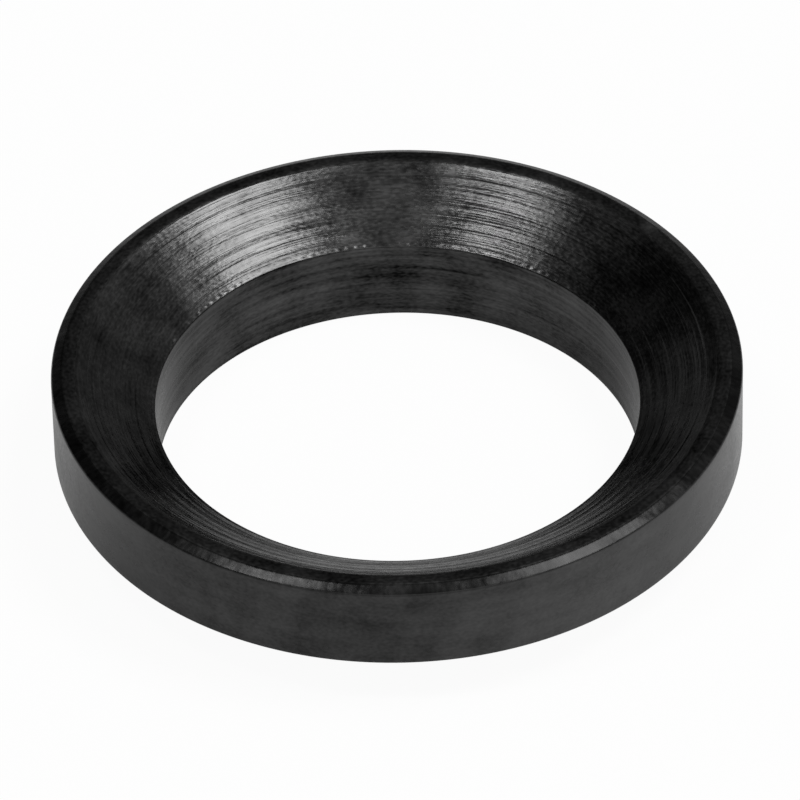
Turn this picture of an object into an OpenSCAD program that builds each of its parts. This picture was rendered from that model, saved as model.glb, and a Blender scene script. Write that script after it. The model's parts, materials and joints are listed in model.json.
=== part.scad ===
// Crush washer: one turned steel ring that is squeezed between a shoulder and a threaded fitting.
// The upper face is a shallow funnel inside a narrow bevelled rim, and the underside is a matching cone
// round a flat seat, so the section is a slanted band that folds flat as the fitting is tightened.
// The ring stands on its seat at z = 0, with its axis on Z.

/* [Ring] */
// Outside diameter of the ring
outer_d = 18.8; // [17:0.1:24]
// Diameter of the bore that the thread passes through
bore_d = 13.2; // [9:0.1:14]
// Height of the bore wall, from the seat to the foot of the funnel
bore_h = 2.4; // [1.2:0.1:4]

/* [Faces] */
// Slope of the funnel above and the cone below, from the horizontal
cone_angle = 32.5; // [10:0.5:40]
// Width of the rim round the funnel, with its bevel
rim_w = 0.65; // [0.6:0.05:1]
// Width of the bevel on the outer side of the rim
bevel_w = 0.3; // [0.2:0.05:0.3]
// Slope of the bevel, from the horizontal
bevel_angle = 27; // [15:1:35]
// Width of the flat seat round the lower end of the bore
seat_w = 0.85; // [0.5:0.05:1.1]

/* [Edges] */
// Radius on the two edges of the flat crest of the rim
crest_edge_r = 0.15; // [0.1:0.05:0.4]
// Radius on the two edges of the outer wall
outer_edge_r = 0.12; // [0.05:0.01:0.2]
// Radius on the two edges of the bore
bore_edge_r = 0.04; // [0.02:0.01:0.2]

/* [Hidden] */

$fn = 180;
steel_black = "#26272A";

outer_r = outer_d / 2;
bore_r = bore_d / 2;
rim_in_r = outer_r - rim_w;
bevel_in_r = outer_r - bevel_w;
seat_out_r = bore_r + seat_w;
funnel_h = (rim_in_r - bore_r) * tan(cone_angle);
skirt_h = (outer_r - seat_out_r) * tan(cone_angle);
bevel_h = bevel_w * tan(bevel_angle);
ring_h = bore_h + funnel_h;
wall_top = ring_h - bevel_h;

// Directions along the sides of the section, away from the corner that is being rounded
inward = [-1, 0];
outward = [1, 0];
up = [0, 1];
down = [0, -1];
up_cone = [cos(cone_angle), sin(cone_angle)];
down_cone = -up_cone;
down_bevel = [cos(bevel_angle), -sin(bevel_angle)];
up_bevel = -down_bevel;

// What an arc takes off a corner whose two sides leave it along side_a and side_b
module corner_waste(corner, side_a, side_b, radius) {
    half_angle = acos(side_a * side_b) / 2;
    reach = radius / tan(half_angle);
    into_metal = (side_a + side_b) / norm(side_a + side_b);
    centre = corner + into_metal * radius / sin(half_angle);
    difference() {
        polygon([
            corner + side_a * reach,
            corner - into_metal * radius,
            corner + side_b * reach,
            centre
        ]);
        translate(centre) circle(r = radius);
    }
}

// Half section of the ring, with the radius along x and the height along y
module section() {
    difference() {
        polygon([
            [bore_r, 0],
            [seat_out_r, 0],
            [outer_r, skirt_h],
            [outer_r, wall_top],
            [bevel_in_r, ring_h],
            [rim_in_r, ring_h],
            [bore_r, bore_h]
        ]);
        corner_waste([rim_in_r, ring_h], down_cone, outward, crest_edge_r);
        corner_waste([bevel_in_r, ring_h], inward, down_bevel, crest_edge_r);
        corner_waste([outer_r, wall_top], up_bevel, down, outer_edge_r);
        corner_waste([outer_r, skirt_h], up, down_cone, outer_edge_r);
        corner_waste([bore_r, bore_h], up_cone, down, bore_edge_r);
        corner_waste([bore_r, 0], outward, up, bore_edge_r);
    }
}

module washer() {
    color(steel_black)
        rotate_extrude() section();
}

washer();
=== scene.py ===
import json
import math
import random
import bmesh
import bpy
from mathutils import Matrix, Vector


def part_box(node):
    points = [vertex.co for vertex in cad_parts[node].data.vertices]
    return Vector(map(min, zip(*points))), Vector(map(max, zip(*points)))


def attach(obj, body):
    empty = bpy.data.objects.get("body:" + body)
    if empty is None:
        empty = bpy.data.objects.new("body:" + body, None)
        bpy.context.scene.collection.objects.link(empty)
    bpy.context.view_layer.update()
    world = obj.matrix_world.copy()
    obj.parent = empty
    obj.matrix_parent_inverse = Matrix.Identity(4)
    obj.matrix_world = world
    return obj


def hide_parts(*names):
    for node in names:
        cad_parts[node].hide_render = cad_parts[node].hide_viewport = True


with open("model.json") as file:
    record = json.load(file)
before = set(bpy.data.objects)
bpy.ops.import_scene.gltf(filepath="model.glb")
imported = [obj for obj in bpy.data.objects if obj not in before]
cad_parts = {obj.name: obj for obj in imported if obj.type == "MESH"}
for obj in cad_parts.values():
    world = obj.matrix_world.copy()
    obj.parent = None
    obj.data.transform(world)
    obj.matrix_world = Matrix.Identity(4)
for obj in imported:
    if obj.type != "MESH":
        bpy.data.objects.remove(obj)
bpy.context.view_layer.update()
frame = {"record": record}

# The ring
# A crush washer turned from steel bar in one piece: a funnel inside a narrow bevelled rim, a bored
# hole, and a matching cone below that ends in a flat seat. The tool left lines in the funnel and the
# bore, and a tumble dulled the outer wall before the ring was blackened in a hot oxide bath.
mm = 0.001
ring_low, ring_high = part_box("washer")
outer_r = (ring_high.x - ring_low.x) / 2
ring_h = ring_high.z
bore_r = next(m["dims"]["r_mm"] for m in frame["record"]["mounts"] if m["name"] == "thread_bore") * mm
bore_h = 2.4 * mm
rim_w = 0.64 * mm
bevel_w = 0.3 * mm
bevel_angle = math.radians(27)
lip_w = 0.33 * mm
lip_angle = math.radians(28.5)
seat_w = 0.85 * mm
skirt_angle = math.radians(32.5)
lip_edge_r = 0.3 * mm
bevel_edge_r = 0.25 * mm
outer_edge_r = 0.08 * mm
bore_edge_r = 0.05 * mm
seat_edge_r = 0.03 * mm
rim_in_r = outer_r - rim_w
lip_in_r = rim_in_r - lip_w
seat_out_r = bore_r + seat_w
lip_foot = ring_h - lip_w * math.tan(lip_angle)
funnel_angle = math.atan2(lip_foot - bore_h, lip_in_r - bore_r)
skirt_top = (outer_r - seat_out_r) * math.tan(skirt_angle)
wall_top = ring_h - bevel_w * math.tan(bevel_angle)

steps_round = 256
edge_steps = 8
funnel_step = 0.013 * mm
bore_step = 0.03 * mm
lip_step = 0.03 * mm
plain_step = 0.15 * mm

ring = bmesh.new()
corners = [
    ring.verts.new((r, 0, z))
    for r, z in (
        (bore_r, 0),
        (seat_out_r, 0),
        (outer_r, skirt_top),
        (outer_r, wall_top),
        (outer_r - bevel_w, ring_h),
        (rim_in_r, ring_h),
        (lip_in_r, lip_foot),
        (bore_r, bore_h),
    )
]
section = ring.faces.new(corners)


def round_corner(corner, radius):
    """Rounds one corner of the section with an arc that meets both sides without a kink."""
    side_a, side_b = (e.other_vert(corner).co - corner.co for e in corner.link_edges)
    reach = radius / math.tan(side_a.angle(side_b) / 2)
    bmesh.ops.bevel(
        ring, geom=[corner], offset=reach, offset_type="OFFSET", segments=edge_steps, profile=0.5,
        affect="VERTICES", material=-1,
    )


for corner, radius in (
    (corners[0], seat_edge_r),
    (corners[2], outer_edge_r),
    (corners[3], outer_edge_r),
    (corners[4], bevel_edge_r),
    (corners[5], lip_edge_r),
    (corners[7], bore_edge_r),
):
    round_corner(corner, radius)
bmesh.ops.delete(ring, geom=ring.faces[:], context="FACES_ONLY")

# The tool left the funnel and the bore in narrow lands, each tilted a little against the next
random.seed(11)
least_tilt = 0.3
turn_back = 0.4
run_out = 0.1 * mm


def cut_lands(length, width, tilt, deepest):
    """Start, width, and depth at both ends, of each land along a turned face."""
    lands = []
    reached = depth = 0.0
    while reached < length:
        land_w = width[0] * (width[1] / width[0]) ** random.random()
        fall = math.tan(math.radians(random.uniform(least_tilt, 1.0) * tilt)) * land_w
        next_depth = depth + fall if depth < turn_back * deepest else depth - fall
        next_depth = min(max(next_depth, 0), deepest)
        lands.append((reached, land_w, depth, next_depth))
        reached += land_w
        depth = next_depth
    return lands


def cut_depth(lands, grooves, along, length):
    """How far the tool cut below the plain face at one place on it, running out at both ends."""
    start, land_w, depth, next_depth = next(land for land in reversed(lands) if land[0] <= along)
    below = depth + (next_depth - depth) * (along - start) / land_w
    for middle, half_w, groove_depth in grooves:
        below += groove_depth * max(0, 1 - abs(along - middle) / half_w)
    return below * max(0, min(1, along / run_out, (length - along) / run_out))


funnel_length = (lip_in_r - bore_r) / math.cos(funnel_angle)
funnel_lands = cut_lands(funnel_length, (0.1 * mm, 0.26 * mm), 4.2, 0.015 * mm)
funnel_grooves = (
    (0.28 * funnel_length, 0.025 * mm, 0.005 * mm),
    (funnel_length - 0.08 * mm, 0.04 * mm, 0.005 * mm),
)
bore_lands = cut_lands(bore_h, (0.1 * mm, 0.4 * mm), 1.5, 0.008 * mm)
bore_grooves = (
    (0.5 * bore_h, 0.04 * mm, 0.006 * mm),
    (0.84 * bore_h, 0.03 * mm, 0.004 * mm),
    (0.9 * bore_h, 0.03 * mm, 0.005 * mm),
)
into_funnel = Vector((math.sin(funnel_angle), 0, -math.cos(funnel_angle)))
into_bore = Vector((1, 0, 0))
on_line = 0.0001 * mm
short_of_lip = 0.001 * mm
shortest_side = 0.2 * mm


def up_funnel(point):
    """How far up the funnel a point of the section lies, or None if it lies on another side."""
    up = (point.x - bore_r) / math.cos(funnel_angle)
    off = abs(point.z - bore_h - (point.x - bore_r) * math.tan(funnel_angle))
    return up if off < on_line and bore_edge_r < up < funnel_length - short_of_lip else None


def up_bore(point):
    """How far up the bore a point of the section lies, or None if it lies on another side."""
    inside = abs(point.x - bore_r) < on_line and seat_edge_r < point.z < bore_h - bore_edge_r
    return point.z if inside else None


for side in [e for e in ring.edges if e.calc_length() > shortest_side]:
    middle = (side.verts[0].co + side.verts[1].co) / 2
    step = plain_step
    if up_funnel(middle) is not None:
        step = funnel_step
    elif up_bore(middle) is not None:
        step = bore_step
    elif lip_foot < middle.z < ring_h and middle.x < rim_in_r:
        step = lip_step
    bmesh.ops.subdivide_edges(ring, edges=[side], cuts=round(side.calc_length() / step))
for vert in ring.verts:
    along_funnel = up_funnel(vert.co)
    along_bore = up_bore(vert.co)
    if along_funnel is not None:
        vert.co += into_funnel * cut_depth(funnel_lands, funnel_grooves, along_funnel, funnel_length)
    elif along_bore is not None:
        vert.co += into_bore * cut_depth(bore_lands, bore_grooves, along_bore, bore_h)

bmesh.ops.spin(
    ring, geom=ring.verts[:] + ring.edges[:], cent=(0, 0, 0), axis=(0, 0, 1), angle=2 * math.pi,
    steps=steps_round, use_merge=True,
)
bmesh.ops.recalc_face_normals(ring, faces=ring.faces[:])

# Each face takes the finish of its part of the ring, and the outer wall's goes on underneath too
in_bore, in_funnel, on_crest, on_bevel = 1, 2, 3, 4
bore_cut_r = bore_r + 0.02 * mm
funnel_end = ring_h - 0.06 * lip_edge_r
bevel_foot = wall_top + 0.2 * outer_edge_r
for face in ring.faces:
    face.smooth = True
    middle = face.calc_center_median()
    radius = middle.to_2d().length
    if radius < bore_cut_r and seat_edge_r < middle.z < bore_h:
        face.material_index = in_bore
    elif radius < rim_in_r and bore_h < middle.z < funnel_end:
        face.material_index = in_funnel
    elif middle.z > bevel_foot:
        face.material_index = on_bevel if radius > outer_r - bevel_w else on_crest
washer_mesh = bpy.data.meshes.new("crush_washer")
ring.to_mesh(washer_mesh)
ring.free()
washer = bpy.data.objects.new("crush_washer", washer_mesh)
bpy.context.scene.collection.objects.link(washer)

cloud_size = 1.2 * mm
dent_size = 0.5 * mm
least_tone = 0.1
rough_from_clouds = 0.2
rough_from_grain = 0.15
chatter_waves = 156.0
chatter_place = bore_r + bore_h + 0.11 * mm
chatter_half_w = 0.08 * mm
chatter_gain = 4.0
chatter_cut = 1.8


def sum_up(tree, operation, *values):
    """Output of a new math node that takes sockets or plain numbers."""
    node = tree.nodes.new("ShaderNodeMath")
    node.operation = operation
    for socket, value in zip(node.inputs, values):
        if isinstance(value, (int, float)):
            socket.default_value = value
        else:
            tree.links.new(value, socket)
    return node.outputs[0]


def make_oxide_finish():
    """Node group for turned, blackened steel: lines round the axis, grain, and clouds in the oxide."""
    group = bpy.data.node_groups.new("oxide_finish", "ShaderNodeTree")
    for name in (
        "Tone", "Line Tone", "Grain Tone", "Cloud Tone", "Roughness",
        "Line Width", "Line Length", "Line Relief", "Grain Width", "Grain Length", "Grain Relief",
        "Dent Relief", "Chatter Relief", "Patch Tone", "Patch Width",
    ):
        group.interface.new_socket(name, in_out="INPUT", socket_type="NodeSocketFloat")
    group.interface.new_socket("Patch Place", in_out="INPUT", socket_type="NodeSocketVector")
    for name, kind in (("Colour", "Color"), ("Roughness", "Float"), ("Height", "Float")):
        group.interface.new_socket(name, in_out="OUTPUT", socket_type="NodeSocket" + kind)
    nodes, links = group.nodes, group.links
    given = nodes.new("NodeGroupInput").outputs
    made = nodes.new("NodeGroupOutput").inputs

    def add(*values):
        return sum_up(group, "ADD", *values)

    def take(*values):
        return sum_up(group, "SUBTRACT", *values)

    def times(*values):
        return sum_up(group, "MULTIPLY", *values)

    def over(*values):
        return sum_up(group, "DIVIDE", *values)

    def at_least(*values):
        return sum_up(group, "MAXIMUM", *values)

    def spread(place, detail, roughness):
        node = nodes.new("ShaderNodeTexNoise")
        links.new(place, node.inputs["Vector"])
        node.inputs["Scale"].default_value = 1.0
        node.inputs["Detail"].default_value = detail
        node.inputs["Roughness"].default_value = roughness
        return node.outputs["Fac"]

    def scaled(place, size):
        node = nodes.new("ShaderNodeVectorMath")
        node.operation = "SCALE"
        links.new(place, node.inputs[0])
        node.inputs["Scale"].default_value = 1 / size
        return node.outputs[0]

    place = nodes.new("ShaderNodeTexCoord").outputs["Object"]
    split = nodes.new("ShaderNodeSeparateXYZ")
    links.new(place, split.inputs[0])
    x, y, z = split.outputs
    radius = sum_up(group, "SQRT", add(times(x, x), times(y, y)))
    across = add(radius, z)

    def round_the_axis(length, width):
        node = nodes.new("ShaderNodeCombineXYZ")
        links.new(over(over(x, radius), length), node.inputs[0])
        links.new(over(over(y, radius), length), node.inputs[1])
        links.new(over(across, width), node.inputs[2])
        return node.outputs[0]

    lines = spread(round_the_axis(given["Line Length"], given["Line Width"]), 1.0, 0.5)
    grain = spread(round_the_axis(given["Grain Length"], given["Grain Width"]), 0.0, 0.5)
    clouds = spread(scaled(place, cloud_size), 3.0, 0.55)
    dents = spread(scaled(place, dent_size), 1.0, 0.5)

    tone_lines = times(take(lines, 0.5), given["Line Tone"])
    tone_clouds = times(take(clouds, 0.5), given["Cloud Tone"])
    tone_grain = times(take(grain, 0.5), given["Grain Tone"])
    # A patch lightens or darkens the tone round one place; on the outer wall it is a painted
    # reflection.
    from_patch = nodes.new("ShaderNodeVectorMath")
    from_patch.operation = "DISTANCE"
    links.new(place, from_patch.inputs[0])
    links.new(given["Patch Place"], from_patch.inputs[1])
    off_patch = over(from_patch.outputs["Value"], given["Patch Width"])
    tone_patch = times(at_least(take(1.0, off_patch), 0.0), given["Patch Tone"])
    tone_change = add(add(add(tone_lines, tone_grain), tone_clouds), tone_patch)
    links.new(times(given["Tone"], at_least(add(1.0, tone_change), least_tone)), made["Colour"])

    rough_clouds = times(take(clouds, 0.5), rough_from_clouds)
    rough_grain = times(take(grain, 0.5), rough_from_grain)
    links.new(add(given["Roughness"], add(rough_clouds, rough_grain)), made["Roughness"])

    line_height = times(lines, given["Line Relief"])
    grain_height = times(grain, given["Grain Relief"])
    dent_height = times(dents, given["Dent Relief"])
    # The tool chattered along the foot of the funnel, here and there
    waves = sum_up(group, "SINE", times(sum_up(group, "ARCTAN2", y, x), chatter_waves))
    off_foot = sum_up(group, "ABSOLUTE", take(across, chatter_place))
    near_foot = at_least(take(1.0, over(off_foot, chatter_half_w)), 0.0)
    here_and_there = at_least(take(times(clouds, chatter_gain), chatter_cut), 0.0)
    chatter = times(times(waves, near_foot), here_and_there)
    chatter_height = times(chatter, given["Chatter Relief"])
    relief = add(line_height, add(grain_height, dent_height))
    links.new(add(relief, chatter_height), made["Height"])
    return group


oxide_finish = make_oxide_finish()
micrometre = 0.001 * mm
across_the_lines = 0.25


def blackened_steel(name, metallic, edge_tint, brushed, **finish_values):
    """One of the ring's finishes, with relief given in micrometres."""
    material = bpy.data.materials.new(name)
    material.use_nodes = True
    nodes, links = material.node_tree.nodes, material.node_tree.links
    surface = nodes["Principled BSDF"]
    surface.inputs["Metallic"].default_value = metallic
    surface.inputs["Specular Tint"].default_value = (edge_tint, edge_tint, edge_tint, 1)
    surface.inputs["Anisotropic"].default_value = brushed
    surface.inputs["Anisotropic Rotation"].default_value = across_the_lines
    round_axis = nodes.new("ShaderNodeTangent")
    round_axis.direction_type = "RADIAL"
    round_axis.axis = "Z"
    links.new(round_axis.outputs["Tangent"], surface.inputs["Tangent"])
    finish = nodes.new("ShaderNodeGroup")
    finish.node_tree = oxide_finish
    for socket_name, value in finish_values.items():
        finish.inputs[socket_name.replace("_", " ").title()].default_value = value
    bump = nodes.new("ShaderNodeBump")
    bump.inputs["Distance"].default_value = micrometre
    links.new(finish.outputs["Height"], bump.inputs["Height"])
    links.new(finish.outputs["Colour"], surface.inputs["Base Color"])
    links.new(finish.outputs["Roughness"], surface.inputs["Roughness"])
    links.new(bump.outputs["Normal"], surface.inputs["Normal"])
    washer_mesh.materials.append(material)


worn_spot = (7.1 * mm, 5.6 * mm, 3.74 * mm)
# The wall's patch is painted light: it lightens the right front of the wall as a painted reflection of
# the brighter floor on that side.
blackened_steel(
    "tumbled_wall", metallic=1.0, edge_tint=1.0, brushed=0.0,
    tone=0.039, line_tone=0.6, grain_tone=0.6, cloud_tone=1.6, roughness=0.32,
    line_width=0.3 * mm, line_length=0.3, line_relief=1.0,
    grain_width=0.08 * mm, grain_length=0.012, grain_relief=1.0, dent_relief=4.0,
    patch_tone=0.9, patch_width=6.0 * mm, patch_place=(5.4 * mm, -7.7 * mm, 2.2 * mm),
)
blackened_steel(
    "bored_hole", metallic=1.0, edge_tint=0.8, brushed=0.0,
    tone=0.04, line_tone=2.0, grain_tone=1.0, cloud_tone=2.2, roughness=0.3,
    line_width=0.14 * mm, line_length=0.7, line_relief=1.5,
    grain_width=0.06 * mm, grain_length=0.02, grain_relief=0.6, dent_relief=2.0,
    patch_tone=-0.35, patch_width=0.4 * mm, patch_place=(0.0, 6.6 * mm, 1.4 * mm),
)
blackened_steel(
    "turned_funnel", metallic=1.0, edge_tint=0.55, brushed=0.35,
    tone=0.06, line_tone=0.8, grain_tone=0.8, cloud_tone=1.8, roughness=0.25,
    line_width=0.085 * mm, line_length=0.4, line_relief=10.0,
    grain_width=0.09 * mm, grain_length=0.018, grain_relief=3.5, dent_relief=2.0,
    chatter_relief=7.0, patch_width=1.0 * mm,
)
blackened_steel(
    "dulled_crest", metallic=1.0, edge_tint=0.6, brushed=0.0,
    tone=0.038, line_tone=0.5, grain_tone=1.2, cloud_tone=1.8, roughness=0.34,
    line_width=0.08 * mm, line_length=0.3, line_relief=1.0,
    grain_width=0.08 * mm, grain_length=0.012, grain_relief=2.0, dent_relief=6.0,
    patch_tone=2.0, patch_width=0.35 * mm, patch_place=worn_spot,
)
blackened_steel(
    "worn_bevel", metallic=0.85, edge_tint=0.7, brushed=0.0,
    tone=0.014, line_tone=0.8, grain_tone=0.8, cloud_tone=2.6, roughness=0.26,
    line_width=1.2 * mm, line_length=0.09, line_relief=7.0,
    grain_width=0.08 * mm, grain_length=0.012, grain_relief=2.0, dent_relief=16.0,
    patch_tone=2.0, patch_width=0.35 * mm, patch_place=worn_spot,
)

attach(washer, "root")
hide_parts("washer")

# The floor
# A pale matt table top that the ring stands on. It shows white to the lens, glows a little in the
# black metal, and keeps a soft shadow where the ring stands.
floor_half = 1.0
floor_gap = 0.02 * mm
floor_tone = 0.85
glow_to_lens = 0.95
glow_in_metal = 0.3
floor_bm = bmesh.new()
bmesh.ops.create_grid(floor_bm, x_segments=1, y_segments=1, size=floor_half)
floor_mesh = bpy.data.meshes.new("floor")
floor_bm.to_mesh(floor_mesh)
floor_bm.free()
floor = bpy.data.objects.new("floor", floor_mesh)
floor.location.z = -floor_gap
bpy.context.scene.collection.objects.link(floor)
floor_paint = bpy.data.materials.new("pale_floor")
floor_paint.use_nodes = True
paint = floor_paint.node_tree
paint.nodes.clear()
matt = paint.nodes.new("ShaderNodeBsdfDiffuse")
matt.inputs["Color"].default_value = (floor_tone, floor_tone, floor_tone, 1)
glow = paint.nodes.new("ShaderNodeEmission")
ray = paint.nodes.new("ShaderNodeLightPath").outputs
mirrored = sum_up(paint, "MAXIMUM", ray["Is Glossy Ray"], ray["Is Transmission Ray"])
glow_mirrored = sum_up(paint, "MULTIPLY", mirrored, glow_in_metal)
glow_share = sum_up(paint, "MULTIPLY_ADD", ray["Is Camera Ray"], glow_to_lens, glow_mirrored)
blend = paint.nodes.new("ShaderNodeMixShader")
paint.links.new(glow_share, blend.inputs["Fac"])
paint.links.new(matt.outputs[0], blend.inputs[1])
paint.links.new(glow.outputs[0], blend.inputs[2])
paint.links.new(blend.outputs[0], paint.nodes.new("ShaderNodeOutputMaterial").inputs["Surface"])
floor_mesh.materials.append(floor_paint)

# The lamps and the room
# Two soft lamps hang over the ring, a slim one on the left and a round one on the right. The room
# round them is dim, and is lighter low down, in front, overhead and to the right.
ring_top = Vector((0, 0, ring_h))
lamp_distance = 0.4


def hang_lamp(name, direction, width, length, power):
    """Soft oval lamp that faces the ring from one direction."""
    light = bpy.data.lights.new(name, "AREA")
    light.shape = "ELLIPSE"
    light.size = width
    light.size_y = length
    light.energy = power
    lamp = bpy.data.objects.new(name, light)
    lamp.location = ring_top + Vector(direction).normalized() * lamp_distance
    lamp.rotation_euler = (lamp.location - ring_top).to_track_quat("Z", "Y").to_euler()
    bpy.context.scene.collection.objects.link(lamp)


hang_lamp("left_lamp", (-0.335, -0.06, 0.94), width=0.05, length=0.13, power=0.31)
hang_lamp("right_lamp", (0.455, 0.02, 0.89), width=0.17, length=0.17, power=0.76)
room = bpy.data.worlds.new("dim_room")
room.use_nodes = True
air = room.node_tree
heading = air.nodes.new("ShaderNodeSeparateXYZ")
air.links.new(air.nodes.new("ShaderNodeTexCoord").outputs["Generated"], heading.inputs[0])


def light_along(axis, start, end, at_start, at_end, fade="LINEAR"):
    """Light of the room that goes from one level to another along one axis."""
    node = air.nodes.new("ShaderNodeMapRange")
    node.interpolation_type = fade
    node.inputs["From Min"].default_value = start
    node.inputs["From Max"].default_value = end
    node.inputs["To Min"].default_value = at_start
    node.inputs["To Max"].default_value = at_end
    air.links.new(heading.outputs[axis], node.inputs["Value"])
    return node.outputs["Result"]


side_light = light_along("X", -0.7, 1.0, 0.015, 0.27)
low_light = light_along("Z", 0.0, 0.42, 0.52, 0.0)
front_light = light_along("Y", -0.35, -0.7, 0.0, 0.55)
ceiling_light = light_along("Z", 0.5, 0.8, 0.0, 0.31, "SMOOTHSTEP")
# The ceiling's light falls off towards the back left
ceiling_fall = air.nodes.new("ShaderNodeFloatCurve")
curve = ceiling_fall.mapping
curve.use_clip = False
for point, (along, level) in zip(curve.curves[0].points, ((-0.84, 0.0), (0.35, 1.0))):
    point.location = (along, level)
curve.curves[0].points.new(-0.79, 0.4)
curve.curves[0].points.new(0.05, 0.5)
for point in curve.curves[0].points:
    point.handle_type = "VECTOR"
curve.extend = "HORIZONTAL"
curve.update()
aslant = sum_up(air, "SUBTRACT", heading.outputs["X"], heading.outputs["Y"])
air.links.new(aslant, ceiling_fall.inputs["Value"])
side_or_low = sum_up(air, "MAXIMUM", side_light, low_light)
wall_light = sum_up(air, "MAXIMUM", side_or_low, front_light)
room_light = sum_up(air, "MULTIPLY_ADD", ceiling_light, ceiling_fall.outputs["Value"], wall_light)
background = air.nodes["Background"]
background.inputs["Color"].default_value = (1, 1, 1, 1)
air.links.new(room_light, background.inputs["Strength"])
bpy.context.scene.world = room

# The camera
# A long lens in front of the ring, looking down on it and tipped a little to one side. It is aimed
# so that the middle of the rim falls at its place in the frame.
frame_px = 800
sensor_mm = 36
focal_px = 9133
lens_height = math.radians(40.09)
lens_distance = 26.38 * outer_r
lens_roll = -0.0227
rim_centre_px = Vector((396.64, 362.11))
eye = ring_top + Vector((0, -math.cos(lens_height), math.sin(lens_height))) * lens_distance
towards = (ring_top - eye).to_track_quat("-Z", "Y")
off_px = Vector((frame_px / 2 - rim_centre_px.x, rim_centre_px.y - frame_px / 2))
off = off_px / focal_px * lens_distance
level = towards.to_matrix()
right, upward = level.col[0], level.col[1]
rolled_right = right * math.cos(lens_roll) + upward * math.sin(lens_roll)
rolled_up = upward * math.cos(lens_roll) - right * math.sin(lens_roll)
aim = ring_top + rolled_right * off.x + rolled_up * off.y
camera_data = bpy.data.cameras.new("camera")
camera_data.sensor_width = sensor_mm
camera_data.lens = focal_px / frame_px * sensor_mm
camera = bpy.data.objects.new("camera", camera_data)
camera.location = eye
camera.rotation_euler = (aim - eye).to_track_quat("-Z", "Y").to_euler()
camera.rotation_euler.rotate_axis("Z", lens_roll)
bpy.context.scene.collection.objects.link(camera)
bpy.context.scene.camera = camera
bpy.context.scene.view_settings.view_transform = "Standard"
